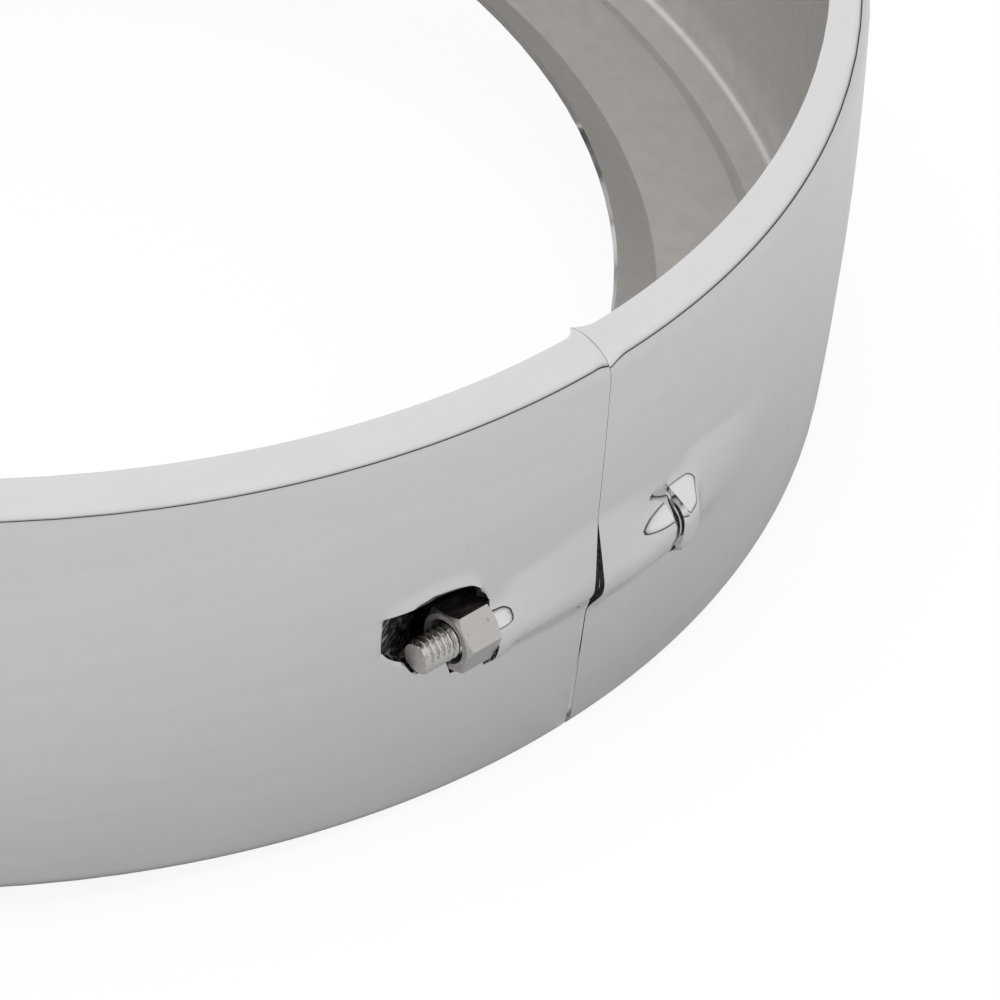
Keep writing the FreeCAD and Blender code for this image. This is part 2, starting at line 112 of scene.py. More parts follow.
def curve(value: np.ndarray | float, points: dict[float, float]) -> np.ndarray:
    """Reads a smooth curve through a few points, level beyond both ends.

    Args:
        value: Where the curve is read.
        points: The curve's height at each rising station.

    Returns:
        The heights at the values.
    """
    x, y = np.array(list(points)), np.array(list(points.values()), float)
    steps = np.diff(y) / np.diff(x)
    rates = np.zeros(len(x))
    same_way = steps[:-1] * steps[1:] > 0
    mean = 2 * steps[:-1] * steps[1:] / np.where(same_way, steps[:-1] + steps[1:], 1)
    rates[1:-1] = np.where(same_way, mean, 0)
    value = np.clip(np.asarray(value, float), x[0], x[-1])
    i = np.clip(np.searchsorted(x, value, side="right") - 1, 0, len(x) - 2)
    span = x[i + 1] - x[i]
    t = (value - x[i]) / span
    rise = (3 - 2 * t) * t * t
    return (y[i] + (y[i + 1] - y[i]) * rise
            + span * (rates[i] * t * (1 - t) ** 2 - rates[i + 1] * t * t * (1 - t)))


def dome(share: np.ndarray, fillet: float = 0.05) -> np.ndarray:
    """Gives a dome that meets its foot at an angle, with a small fillet there.

    Args:
        share: The share of the way from the ridge to the foot.
        fillet: How much the foot is rounded, as a share of the height.

    Returns:
        The height, from 1 at the ridge to 0 beyond the foot.
    """
    height = 1 - np.abs(share) ** 1.7
    return (height + np.sqrt(height * height + fillet * fillet)) / 2 - fillet ** 2 / 4


@dataclass(frozen=True)
class Place:
    """Where the ring lies in the row frame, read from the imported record."""

    origin: Vector
    tilt: float

    @staticmethod
    def from_record(record: dict, grip_height: float) -> "Place":
        """Works out the ring's place from the mount at its rear grip.

        Args:
            record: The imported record.
            grip_height: How far the grip lies behind the ring's zero, in mm.

        Returns:
            The ring's place.
        """
        mount = next(m for m in record["mounts"] if m["name"] == "rear_grip")
        axis = Vector(mount["axis"]).normalized()
        origin = Vector(mount["pos_m"]) - axis * grip_height * MM
        return Place(origin, math.atan2(-axis.y, axis.z))

    def matrix(self) -> Matrix:
        """Gives the matrix from ring millimetres to row-frame metres."""
        turn = Matrix.Rotation(self.tilt, 4, "X")
        return Matrix.Translation(self.origin) @ turn @ Matrix.Scale(MM, 4)


@dataclass(frozen=True)
class Section:
    """The ring's section: the outer line of one bent sheet."""

    wall_radius: float = 100.0
    wall_depth: float = 40.7
    front_flare: float = 0.76
    camber_radius: float = 370.0
    gauge: float = 0.6
    bead_radius: float = 3.194
    grip_inset: float = 4.3
    fold_radius: float = 2.0
    land_inset: float = 4.4
    step_run: float = 1.6
    step_rise: float = 0.8
    face_run: float = 10.7
    face_rise: float = 1.6
    lip_run: float = 4.5
    lip_rise: float = 2.7
    bend_radius: float = 1.2
    step_bend: float = 0.7

    def camber_centre(self) -> np.ndarray:
        """Gives the centre of the wall's camber, as radius and height."""
        rear = np.array([self.wall_radius, 0.0])
        front = np.array([self.wall_radius + self.front_flare, -self.wall_depth])
        chord = front - rear
        half = np.linalg.norm(chord) / 2
        inward = np.array([chord[1], -chord[0]]) / (2 * half)
        return (rear + front) / 2 + inward * math.sqrt(self.camber_radius ** 2 - half ** 2)

    def wall(self, height: np.ndarray) -> np.ndarray:
        """Gives the outer radius of the wall, and of the peak that carries it on.

        Args:
            height: Heights in the ring frame.

        Returns:
            The outer radius at each height.
        """
        centre = self.camber_centre()
        return centre[0] + np.sqrt(self.camber_radius ** 2 - (height - centre[1]) ** 2)

    def fold_centre(self) -> np.ndarray:
        """Gives the centre of the front fold, as radius and height."""
        centre = self.camber_centre()
        foot = np.array([self.wall_radius + self.front_flare, -self.wall_depth])
        return foot + (centre - foot) / np.linalg.norm(centre - foot) * self.fold_radius

    def bead_centre(self) -> np.ndarray:
        """Gives the centre of the rear bead, as radius and height."""
        centre = self.camber_centre()
        crease = np.array([self.wall_radius, 0.0])
        return crease + (centre - crease) / np.linalg.norm(centre - crease) * self.bead_radius

    def front_line(self) -> np.ndarray:
        """Draws the front of the section, from the lens lip to the wall's foot."""
        fold = self.fold_centre()
        land = fold[1] - self.fold_radius
        knee = self.wall_radius - self.land_inset
        step = knee - self.step_run
        corner = step - self.face_run
        rise = self.step_rise + self.face_rise
        points = [
            (corner - self.lip_run, land + rise + self.lip_rise),
            (corner, land + rise),
            (step, land + self.step_rise),
            (knee, land),
            (fold[0], land),
        ]
        bends = [0, self.bend_radius, self.step_bend, self.step_bend, 0]
        line = rounded_line(np.array(points, float), bends)
        foot = math.atan2(-self.wall_depth - fold[1], self.wall_radius + self.front_flare - fold[0])
        angles = np.linspace(-math.pi / 2, foot, 15)[1:]
        arc = fold + self.fold_radius * np.stack([np.cos(angles), np.sin(angles)], 1)
        return np.vstack([line, arc])

    def bead_line(self, rows: int) -> np.ndarray:
        """Draws the rear bead, from the crease to the edge that grips the lamp.

        Args:
            rows: How many points to give.

        Returns:
            Points as radius and height, without the crease itself.
        """
        centre = self.bead_centre()
        start = math.atan2(-centre[1], self.wall_radius - centre[0])
        end = math.acos((self.wall_radius - self.grip_inset - centre[0]) / self.bead_radius)
        angles = np.linspace(start, end, rows + 1)[1:]
        return centre + self.bead_radius * np.stack([np.cos(angles), np.sin(angles)], 1)


def rounded_line(points: np.ndarray, bends: list[float]) -> np.ndarray:
    """Rounds the knees of a line of straight runs.

    Args:
        points: The knees, with both ends.
        bends: The bend radius at each point, 0 for none.

    Returns:
        Points along the rounded line, with a few along each run.
    """
    line = [points[0]]
    for i in range(1, len(points) - 1):
        before = points[i] - points[i - 1]
        after = points[i + 1] - points[i]
        before, after = before / np.linalg.norm(before), after / np.linalg.norm(after)
        turn = math.acos(np.clip(before @ after, -1, 1))
        reach = bends[i] * math.tan(turn / 2)
        for share in np.linspace(0, 1, 6):
            corner = points[i] - before * reach * (1 - share) ** 2 + after * reach * share ** 2
            line.append(corner)
    line.append(points[-1])
    dense = []
    for first, second in zip(line, line[1:]):
        steps = max(1, int(np.linalg.norm(second - first) // 2.0))
        dense += [first + (second - first) * k / steps for k in range(steps)]
    return np.array(dense + [line[-1]])


@dataclass(frozen=True)
class Clamp:
    """The screw's place in the ring, and the pressed forms that hold it."""

    axis_inset: float = 0.25
    axis_depth: float = 22.5
    axis_toe: float = 3.2
    axis_climb: float = 2.1
    head_station: float = 10.8
    nut_mouth: float = -13.45
    slot_centre: float = 10.9
    slot_drift: float = 0.4
    slot_half_gap: float = 0.25
    slot_foot: float = -3.9
    slot_top: float = 4.6
    slit_level: float = 7.0
    slit_end: float = -25.7
    mouth_foot: float = -4.6
    flare_height: float = 0.45
    flare_width: float = 1.6
    corner_station: float = -18.4
    trough_slope: float = 0.6
    trough_floor: float = 4.6
    trough_side: float = 0.25

    def frame(self, section: Section) -> tuple[np.ndarray, np.ndarray]:
        """Gives the clamp's origin and axes in the ring frame.

        Args:
            section: The ring's section.

        Returns:
            The origin, and a matrix whose columns are along the screw to the
            right, inward, and up.
        """
        origin = np.array([0.0, self.axis_inset - section.wall_radius, -self.axis_depth])
        turn = (Matrix.Rotation(-math.radians(self.axis_toe), 3, "Z")
                @ Matrix.Rotation(-math.radians(self.axis_climb), 3, "Y"))
        return origin, np.array(turn)

    def wall_level(self, section: Section, along: np.ndarray, up: np.ndarray) -> np.ndarray:
        """Finds the plain wall along the clamp's inward direction.

        Args:
            section: The ring's section.
            along: Places along the screw.
            up: Places across the screw.

        Returns:
            How far inward the plain wall lies there.
        """
        origin, axes = self.frame(section)
        level = np.zeros(np.broadcast(along, up).shape)
        base = origin + along[..., None] * axes[:, 0] + up[..., None] * axes[:, 2]
        for _ in range(12):
            point = base + level[..., None] * axes[:, 1]
            radius = np.hypot(point[..., 0], point[..., 1])
            slope = (point[..., 0] * axes[0, 1] + point[..., 1] * axes[1, 1]) / radius
            level = level - (radius - section.wall(point[..., 2])) / slope
        return level

    def tunnel(self, along: np.ndarray, up: np.ndarray, right: np.ndarray) -> np.ndarray:
        """Gives how far the tunnel over the screw stands proud of the wall.

        Args:
            along: Places along the screw.
            up: Places across the screw.
            right: Whether each place is to the right of the split.

        Returns:
            The height over the plain wall.
        """
        height = np.where(right, curve(along, {0: 1.85, 10.6: 2.3}),
                          curve(along, {-13.3: 1.6, -9: 1.45, 0: 1.25}))
        rear = curve(along, {-13.3: 6.0, 0: 7.6, 10: 7.0})
        front = curve(along, {-13.3: 3.4, -1: 4.0, 1: 4.7, 10: 4.7})
        offset = up + 1.0
        plain = height * np.where(offset > 0, flank(offset / rear, 0.14),
                                  flank(-offset / front, 0.34))
        by_nut = curve(up, {-4.5: 0, -3.6: 0.75, -2.5: 1.5, -1: 1.78, 0: 1.6, 0.5: 1.5, 1.3: 0.95,
                            2.2: 0.35, 2.8: 0.1, 3.5: 0.03, 4.3: 0})
        by_head = curve(up, {-5.2: 0, -4.2: 0.6, -3.4: 1.25, -2.5: 1.7, -1.2: 2.2, -0.4: 2.4,
                             0.5: 2.38, 1.15: 2.15, 1.67: 1.8, 2.14: 1.25, 2.87: 0.6, 3.5: 0.3,
                     4.1: 0.14, 5.0: 0.07, 6.3: 0})
        near_nut = smooth(-along, 9.8, 12.6)
        near_head = smooth(along, 3.5, 10.6)
        return (plain * (1 - near_nut) * (1 - near_head) + by_nut * near_nut
                + by_head * near_head)

    def pocket(self, along: np.ndarray, up: np.ndarray) -> np.ndarray:
        """Gives how far the pocket over the screw's head stands proud of the wall.

        Args:
            along: Places along the screw, right of the head's mouth.
            up: Places across the screw.

        Returns:
            The height over the plain wall.
        """
        height = curve(along, {10.5: 2.0, 13: 1.75, 15: 1.5, 18: 1.25, 22: 0.9, 27: 0.4, 32: 0})
        rear = curve(along, {10.5: 6.9, 16: 6.8, 20: 6.0, 25: 5.2, 32: 4.0})
        front = curve(along, {10.5: 4.9, 14: 5.1, 25: 7.0, 32: 8.0})
        offset = up + 0.5
        broad = height * np.where(offset > 0, dome(offset / rear), flank(-offset / front, 0.3))
        lip = curve(up, {-5.2: 0, -4.2: 0.5, -3.5: 1.3, -2.6: 2.4, -1.5: 3.05, -0.5: 3.25,
                         0.6: 3.3, 1.5: 3.2, 2.2: 2.85, 2.8: 2.2, 3.3: 1.3, 3.9: 0.45,
                         4.6: 0.1, 5.2: 0})
        near = curve(along, {11.0: 1, 12.9: 0.85, 14.2: 0.3, 15.6: 0})
        return broad + (lip - broad) * near

    def slot(self, up: np.ndarray) -> np.ndarray:
        """Gives the middle of the slot between the tunnel's end and the pocket.

        Args:
            up: Places across the screw.

        Returns:
            The slot's middle along the screw.
        """
        return self.slot_centre - self.slot_drift * smooth(up, 2.6, self.slot_top)

    def slit(self, along: np.ndarray) -> np.ndarray:
        """Gives the level of the cut above the nut, which rounds down to the mouth.

        Args:
            along: Places along the screw.

        Returns:
            The cut's level across the screw.
        """
        return curve(along, {self.slit_end: 6.4, -21.2: 6.8, -20.0: 7.1, -18.4: 7.05,
                             -16.5: 6.85, -15.1: 6.0, -14.3: 4.9, self.nut_mouth: 3.6})

    def wall_flare(self, along: np.ndarray, up: np.ndarray) -> np.ndarray:
        """Gives how far the sheet above the cut is pulled outward along its edge.

        Args:
            along: Places along the screw.
            up: Places across the screw.

        Returns:
            The height that the flare adds.
        """
        over = up - self.slit(along)
        near = np.clip(1 - over / self.flare_width, 0, 1) ** 2
        reach = smooth(along, self.slit_end - 1.5, self.slit_end + 4) * (
            1 - smooth(along, self.nut_mouth - 1.5, self.nut_mouth + 0.5))
        return self.flare_height * near * reach

    def trough_line(self, section: Section, along: float, share: np.ndarray,
                    top: float, bottom: float) -> np.ndarray:
        """Draws the pressed-in trough across the screw at one station.

        Args:
            section: The ring's section.
            along: The station along the screw.
            share: Shares of the way from the free edge to the foot.
            top: The level of the cut at this station.
            bottom: The level of the foot at this station.

        Returns:
            Points as inward and up.
        """
        foot = max(float(curve(along, {self.slit_end: 2.5, -24.8: 1.6, -24.1: 1.0, -22.9: 0.2,
                                       -22.0: -1.1, -21.4: -1.5, -18.0: -1.55, -17.6: -3.3,
                                       self.nut_mouth: -3.35})), bottom + self.trough_side)
        sink = min((along - self.slit_end) * self.trough_slope, self.trough_floor)
        marks = [0, 0.62, 0.72, 1]
        levels = np.interp(share, marks, [top, foot, foot - self.trough_side, bottom])
        inward = self.wall_level(section, np.full(len(share), along), levels)
        return np.stack([inward + sink * np.interp(share, marks, [1, 1, 0, 0]), levels], 1)


def add_node(tree: bpy.types.NodeTree, kind: str, settings: dict | None = None,
             inputs: dict | None = None) -> bpy.types.Node:
    """Adds a node with its settings, values and links.

    Args:
        tree: The node tree that it goes into.
        kind: The node's type, such as "ShaderNodeTexNoise".
        settings: Properties of the node by name.
        inputs: Values of its sockets, or the sockets that feed them, by name.

    Returns:
        The new node.
    """
    node = tree.nodes.new(kind)
    for name, value in (settings or {}).items():
        setattr(node, name, value)
    for name, value in (inputs or {}).items():
        if isinstance(value, bpy.types.NodeSocket):
            tree.links.new(value, node.inputs[name])
        else:
            node.inputs[name].default_value = value
    return node


def new_material(name: str) -> tuple[bpy.types.Material, bpy.types.NodeTree, bpy.types.Node]:
    """Makes an empty node material.

    Args:
        name: The material's name.

    Returns:
        The material, its node tree and its Principled shader.
    """
    material = bpy.data.materials.new(name)
    material.use_nodes = True
    tree = material.node_tree
    return material, tree, tree.nodes["Principled BSDF"]


@dataclass(frozen=True)
class ChromePlate:
    """Decorative chrome on polished steel, as electroplated.

    Buffing before plating leaves the faintest streaks round the ring, which only
    break up a reflection, and dust under the plate leaves a few tiny pits.
    """

    name: str = "polished_chrome_plate"
    colour: str = "DDDDDE"
    streak_colour: str = "D4D4D5"
    pit_colour: str = "6E6E70"
    roughness: float = 0.035
    streak_roughness: float = 0.075
    streak_spacing_mm: float = 1.6
    ripple_mm: float = 14.0
    pit_spacing_mm: float = 7.0

    def build(self) -> bpy.types.Material:
        """Builds the material.

        Returns:
            The new material.
        """
        material, tree, shader = new_material(self.name)
        place = add_node(tree, "ShaderNodeTexCoord")
        around = add_node(tree, "ShaderNodeMapping", inputs={
            "Vector": place.outputs["Object"], "Scale": (0.12, 0.12, 1.0)})
        streaks = add_node(tree, "ShaderNodeTexNoise", inputs={
            "Vector": around.outputs["Vector"], "Scale": 1 / (self.streak_spacing_mm * MM),
            "Detail": 4.0})
        colour = add_node(tree, "ShaderNodeMix", {"data_type": "RGBA"}, {
            "Factor": streaks.outputs["Fac"]})
        colour.inputs["A"].default_value = linear(self.colour)
        colour.inputs["B"].default_value = linear(self.streak_colour)
        pits = add_node(tree, "ShaderNodeTexVoronoi", inputs={
            "Vector": place.outputs["Object"], "Scale": 1 / (self.pit_spacing_mm * MM)})
        spot = add_node(tree, "ShaderNodeMapRange", inputs={
            "Value": pits.outputs["Distance"], "From Min": 0.018, "From Max": 0.03,
            "To Min": 1.0, "To Max": 0.0})
        patchy = add_node(tree, "ShaderNodeTexNoise", inputs={
            "Vector": place.outputs["Object"], "Scale": 1 / (30 * MM), "Detail": 1.0})
        where = add_node(tree, "ShaderNodeMapRange", inputs={
            "Value": patchy.outputs["Fac"], "From Min": 0.56, "From Max": 0.62})
        share = add_node(tree, "ShaderNodeMath", {"operation": "MULTIPLY"}, {
            0: spot.outputs["Result"], 1: where.outputs["Result"]})
        spotted = add_node(tree, "ShaderNodeMix", {"data_type": "RGBA"}, {
            "Factor": share.outputs["Value"]})
        tree.links.new(colour.outputs[2], spotted.inputs[6])
        spotted.inputs[7].default_value = linear(self.pit_colour)
        tree.links.new(spotted.outputs[2], shader.inputs["Base Color"])
        rough = add_node(tree, "ShaderNodeMapRange", inputs={
            "Value": streaks.outputs["Fac"], "From Min": 0.35, "From Max": 0.75,
            "To Min": self.roughness, "To Max": self.streak_roughness})
        tree.links.new(rough.outputs["Result"], shader.inputs["Roughness"])
        ripple = add_node(tree, "ShaderNodeTexNoise", inputs={
            "Vector": place.outputs["Object"], "Scale": 1 / (self.ripple_mm * MM),
            "Detail": 2.0})
        bump = add_node(tree, "ShaderNodeBump", inputs={
            "Height": ripple.outputs["Fac"], "Strength": 0.35, "Distance": 0.00004})
        tree.links.new(bump.outputs["Normal"], shader.inputs["Normal"])
        shader.inputs["Metallic"].default_value = 1.0
        return material


@dataclass(frozen=True)
class NickelFlash:
    """Dull nickel inside the ring, where the chrome bath barely reaches.

    The steel there isn't buffed, so drawing marks run round it and the surface
    is satin and a little warm.
    """

    name: str = "satin_nickel_flash"
    colour: str = "DCDAD8"
    mark_colour: str = "CCCAC7"
    roughness: float = 0.3
    mark_roughness: float = 0.42
    mark_spacing_mm: float = 2.2

    def build(self) -> bpy.types.Material:
        """Builds the material.

        Returns:
            The new material.
        """
        material, tree, shader = new_material(self.name)
        place = add_node(tree, "ShaderNodeTexCoord")
        marks = add_node(tree, "ShaderNodeTexNoise", inputs={
            "Vector": place.outputs["Object"], "Scale": 1 / (self.mark_spacing_mm * MM),
            "Detail": 6.0, "Roughness": 0.65})
        colour = add_node(tree, "ShaderNodeMix", {"data_type": "RGBA"}, {
            "Factor": marks.outputs["Fac"]})
        colour.inputs["A"].default_value = linear(self.colour)
        colour.inputs["B"].default_value = linear(self.mark_colour)
        tree.links.new(colour.outputs[2], shader.inputs["Base Color"])
        rough = add_node(tree, "ShaderNodeMapRange", inputs={
            "Value": marks.outputs["Fac"], "From Min": 0.3, "From Max": 0.7,
            "To Min": self.roughness, "To Max": self.mark_roughness})
        tree.links.new(rough.outputs["Result"], shader.inputs["Roughness"])
        bump = add_node(tree, "ShaderNodeBump", inputs={
            "Height": marks.outputs["Fac"], "Strength": 0.25, "Distance": 0.00003})
        tree.links.new(bump.outputs["Normal"], shader.inputs["Normal"])
        shader.inputs["Metallic"].default_value = 1.0
        return material


@dataclass(frozen=True)
class DullSteel:
    """Dull steel: sheared edges and faced ends, and near-black painted shade in a sheltered recess
    and on a nut's shaded flat.

    Cutting leaves it matt, and streak noise gives dark and pale streaks.
    """

    name: str
    colour: str
    streak_colour: str
    roughness: float
    streak_mm: float = 0.5
    metallic: float = 1.0

    def build(self) -> bpy.types.Material:
        """Builds the material.

        Returns:
            The new material.
        """
        material, tree, shader = new_material(self.name)
        place = add_node(tree, "ShaderNodeTexCoord")
        along = add_node(tree, "ShaderNodeMapping", inputs={
            "Vector": place.outputs["Object"], "Scale": (0.3, 1.0, 1.0)})
        streaks = add_node(tree, "ShaderNodeTexNoise", inputs={
            "Vector": along.outputs["Vector"], "Scale": 1 / (self.streak_mm * MM),
            "Detail": 4.0})
        share = add_node(tree, "ShaderNodeMapRange", inputs={
            "Value": streaks.outputs["Fac"], "From Min": 0.48, "From Max": 0.66})
        colour = add_node(tree, "ShaderNodeMix", {"data_type": "RGBA"}, {
            "Factor": share.outputs["Result"]})
        colour.inputs["A"].default_value = linear(self.colour)
        colour.inputs["B"].default_value = linear(self.streak_colour)
        tree.links.new(colour.outputs[2], shader.inputs["Base Color"])
        shader.inputs["Roughness"].default_value = self.roughness
        shader.inputs["Metallic"].default_value = self.metallic
        return material


@dataclass(frozen=True)
class PlatedSteel:
    """Zinc or nickel plate on small machined steel hardware.

    Tools leave fine turned or drawn lines under the thin plate, which soften its
    shine, and handling leaves small darker specks.
    """

    name: str
    colour: str
    speck_colour: str
    roughness: float
    grain_mm: float
    grain_stretch: tuple[float, float, float]
    grain_depth_mm: float

    def build(self) -> bpy.types.Material:
        """Builds the material.

        Returns:
            The new material.
        """
        material, tree, shader = new_material(self.name)
        place = add_node(tree, "ShaderNodeTexCoord")
        along = add_node(tree, "ShaderNodeMapping", inputs={
            "Vector": place.outputs["Object"], "Scale": self.grain_stretch})
        grain = add_node(tree, "ShaderNodeTexNoise", inputs={
            "Vector": along.outputs["Vector"], "Scale": 1 / (self.grain_mm * MM),
            "Detail": 5.0, "Roughness": 0.6})
        specks = add_node(tree, "ShaderNodeTexNoise", inputs={
            "Vector": place.outputs["Object"], "Scale": 1 / (0.45 * MM), "Detail": 3.0})
        fleck = add_node(tree, "ShaderNodeMapRange", inputs={
            "Value": specks.outputs["Fac"], "From Min": 0.66, "From Max": 0.8})
        colour = add_node(tree, "ShaderNodeMix", {"data_type": "RGBA"}, {
            "Factor": fleck.outputs["Result"]})
        colour.inputs["A"].default_value = linear(self.colour)
        colour.inputs["B"].default_value = linear(self.speck_colour)
        tree.links.new(colour.outputs[2], shader.inputs["Base Color"])
        rough = add_node(tree, "ShaderNodeMapRange", inputs={
            "Value": grain.outputs["Fac"], "From Min": 0.3, "From Max": 0.7,
            "To Min": self.roughness * 0.8, "To Max": self.roughness * 1.35})
        tree.links.new(rough.outputs["Result"], shader.inputs["Roughness"])
        bump = add_node(tree, "ShaderNodeBump", inputs={
            "Height": grain.outputs["Fac"], "Strength": 0.6,
            "Distance": self.grain_depth_mm * MM})
        tree.links.new(bump.outputs["Normal"], shader.inputs["Normal"])
        shader.inputs["Metallic"].default_value = 1.0
        return material


def mesh_object(name: str, points: np.ndarray, faces: list, place: Place) -> bpy.types.Object:
    """Makes an object from points in the ring frame and lays it down.

    Args:
        name: The piece's name.
        points: The vertices, in millimetres.
        faces: The faces' vertex numbers.
        place: Where the ring lies.

    Returns:
        The new object, at the origin, with its place in its mesh.
    """
    mesh = bpy.data.meshes.new(name)
    mesh.from_pydata([tuple(p) for p in points], [], faces)
    mesh.transform(place.matrix())
    mesh.validate()
    piece = bpy.data.objects.new(name, mesh)
    bpy.context.scene.collection.objects.link(piece)
    return piece


def shade(piece: bpy.types.Object, sharp_angle: float) -> None:
    """Shades a piece smooth, apart from edges sharper than an angle.

    Args:
        piece: The piece.
        sharp_angle: The angle in degrees.
    """
    for face in piece.data.polygons:
        face.use_smooth = True
    piece.data.set_sharp_from_angle(angle=math.radians(sharp_angle))


def bake_modifiers(piece: bpy.types.Object) -> None:
    """Applies a piece's modifiers, so that its mesh is final.

    Args:
        piece: The piece, whose mesh is replaced.
    """
    graph = bpy.context.evaluated_depsgraph_get()
    final = bpy.data.meshes.new_from_object(piece.evaluated_get(graph))
    old = piece.data
    piece.modifiers.clear()
    piece.data = final
    bpy.data.meshes.remove(old)


class SheetFace(Enum):
    """The finish of each kind of face on the ring's sheet."""

    OUTER = 0
    INNER = 1
    SPLIT = 2
    # The trough's recessed faces and the nut's seat carry near-black painted shade
    TROUGH = 3


@dataclass
class VisorRing:
    """The ring of the shell: one sheet, split, with the clamp's forms pressed in."""

    section: Section
    clamp: Clamp
    place: Place
    fine_step: float = 0.3
    fine_reach: float = 33.5
    coarse_columns: int = 124
    bead_rows: int = 14
    bead_end_flare: float = 1.2
    bead_end_drop: float = 0.35
    bead_end_length: float = 2.2
    warp_columns: int = 9
    chrome: ChromePlate = field(default_factory=ChromePlate)
    nickel: NickelFlash = field(default_factory=NickelFlash)
    sheared: DullSteel = DullSteel("sheared_steel_edge", "3C3A39", "5A5856", 0.5)
    # Near-black painted shade, with pale streaks, for the trough's recessed faces and the nut's seat
    trough_shade: DullSteel = DullSteel("painted_shade_pressed_steel", "26221F", "B5B2AE", 0.45)
    split_reach: float = 1.6
    split_foot: float = -31.0

    def columns(self) -> np.ndarray:
        """Gives the columns' places round the ring, in mm from the split."""
        count = int(self.fine_reach / self.fine_step)
        fine = np.arange(0, count + 1) * self.fine_step
        half = math.pi * self.section.wall_radius
        wide = 2 * half / self.coarse_columns
        places, step = list(fine), self.fine_step
        while places[-1] + step < half:
            step = min(step * 1.25, wide)
            places.append(places[-1] + step)
        places[-1] = half
        right = np.array(places)
        return np.concatenate([-right[::-1], right])

    def rows(self) -> np.ndarray:
        """Gives the heights of the wall's rows, finest beside the clamp."""
        low, high = -33.0, -12.6
        fine = np.linspace(low, high, int((high - low) / self.fine_step))
        below = np.linspace(-self.section.wall_depth, low, 8)[:-1]
        above = np.linspace(high, 0, 9)[1:]
        return np.concatenate([below, fine, above])

    def grid(self) -> tuple[np.ndarray, np.ndarray, int, int]:
        """Lays out the sheet's plain section round the ring.

        Returns:
            Radius and height of each row, as two arrays, and the first and last
            row of the wall.
        """
        front = self.section.front_line()
        heights = self.rows()
        wall = np.stack([self.section.wall(heights), heights], 1)
        bead = self.section.bead_line(self.bead_rows)
        line = np.vstack([front[:-1], wall, bead])
        first = len(front) - 1
        return line[:, 0], line[:, 1], first, first + len(heights) - 1

    def build(self) -> bpy.types.Object:
        """Builds the ring's mesh and dresses it.

        Returns:
            The finished piece.
        """
        radii, heights, first, last = self.grid()
        arc = self.columns()
        columns, rows = len(arc), len(radii)
        middle = columns // 2
        right = np.arange(columns) >= middle
        gap = curve(heights, {-42.6: 0.7, -38: 0.62, -34.5: 0.5, -32.5: 0.2, -28: 0.12,
                              -15: 0.05, 0: 0.05})
        side = np.where(right, 1.0, -1.0)
        near = np.clip(1 - np.abs(arc) / 30, 0, 1)
        shifted = arc[:, None] + side[:, None] * near[:, None] ** 2 * gap[None, :] / 2
        angle = -math.pi / 2 + shifted / self.section.wall_radius
        radius = np.broadcast_to(radii, (columns, rows)).copy()
        height = np.broadcast_to(heights, (columns, rows)).copy()
        self.flare_bead_ends(arc, radius, height, last)
        points = np.stack([radius * np.cos(angle), radius * np.sin(angle), height], 2)

        lanced, cut_rows = self.press_clamp(points, arc, right, first, last)
        return self.stitch(points, lanced, cut_rows, columns, rows, middle, first)

    def flare_bead_ends(self, arc: np.ndarray, radius: np.ndarray, height: np.ndarray,
                        last: int) -> None:
        """Bends the bead's two ends a little inward at the split.

        Args:
            arc: The columns' places in mm from the split.
            radius: Each point's radius, changed in place.
            height: Each point's height, changed in place.
            last: The wall's last row.
        """
        near = np.clip(1 - np.abs(arc) / self.bead_end_length, 0, 1) ** 2
        rows = np.arange(radius.shape[1])
        over = smooth(rows, last - 1.0, last + self.bead_rows)
        radius -= self.bead_end_flare * near[:, None] * over[None, :]
        height -= self.bead_end_drop * near[:, None] * over[None, :]

    def press_clamp(self, points: np.ndarray, arc: np.ndarray, right: np.ndarray,
                    first: int, last: int) -> tuple[dict, dict]:
        """Presses the tunnel, the pocket and the trough into the wall.

        Args:
            points: The sheet's points, changed in place.
            arc: The columns' places in mm from the split.
            right: Whether each column is right of the split.
            first: The wall's first row.
            last: The wall's last row.

        Returns:
            The points on the lanced side of each cut by column and row, and the
            named rows and columns of the cuts.
        """
        clamp, section = self.clamp, self.section
        origin, axes = clamp.frame(section)
        zone = np.where(np.abs(arc) < self.fine_reach + 1)[0]
        wall = np.arange(first, last + 1)
        block = np.ix_(zone, wall)
        local = (points[block] - origin) @ axes
        along, up = local[..., 0].copy(), local[..., 2].copy()

        # Columns are drawn to the two mouths, and rows to the cut above the nut
        nut_column = int(np.argmin(np.abs(along[:, len(wall) // 2] - clamp.nut_mouth)))
        head_column = int(np.argmin(np.abs(along[:, len(wall) // 2] - clamp.slot_centre)))
        index = np.arange(len(zone), dtype=float)
        targets = ((nut_column, clamp.nut_mouth), (head_column, clamp.slot(up[head_column])))
        for column, target in targets:
            pull = np.clip(1 - np.abs(index - column) / self.warp_columns, 0, 1)
            along += (target - along[column])[None, :] * (pull * pull * (3 - 2 * pull))[:, None]
        reference = up[nut_column]
        slit_row = int(np.argmin(np.abs(reference - clamp.slit_level)))
        foot_row = int(np.argmin(np.abs(reference - clamp.mouth_foot)))
        head_top = int(np.argmin(np.abs(up[head_column] - clamp.slot_top)))
        head_foot = int(np.argmin(np.abs(up[head_column] - clamp.slot_foot)))
        row_index = np.arange(len(wall), dtype=float)
        reach = smooth(along[:, slit_row], clamp.slit_end - 4, clamp.slit_end - 1) * (
            1 - smooth(along[:, slit_row], clamp.nut_mouth, clamp.nut_mouth + 3.0))
        pull = np.clip(1 - np.abs(row_index - slit_row) / 18, 0, 1)
        shift = (clamp.slit(along[:, slit_row]) - up[:, slit_row]) * reach
        up = up + shift[:, None] * (pull * pull * (3 - 2 * pull))[None, :]

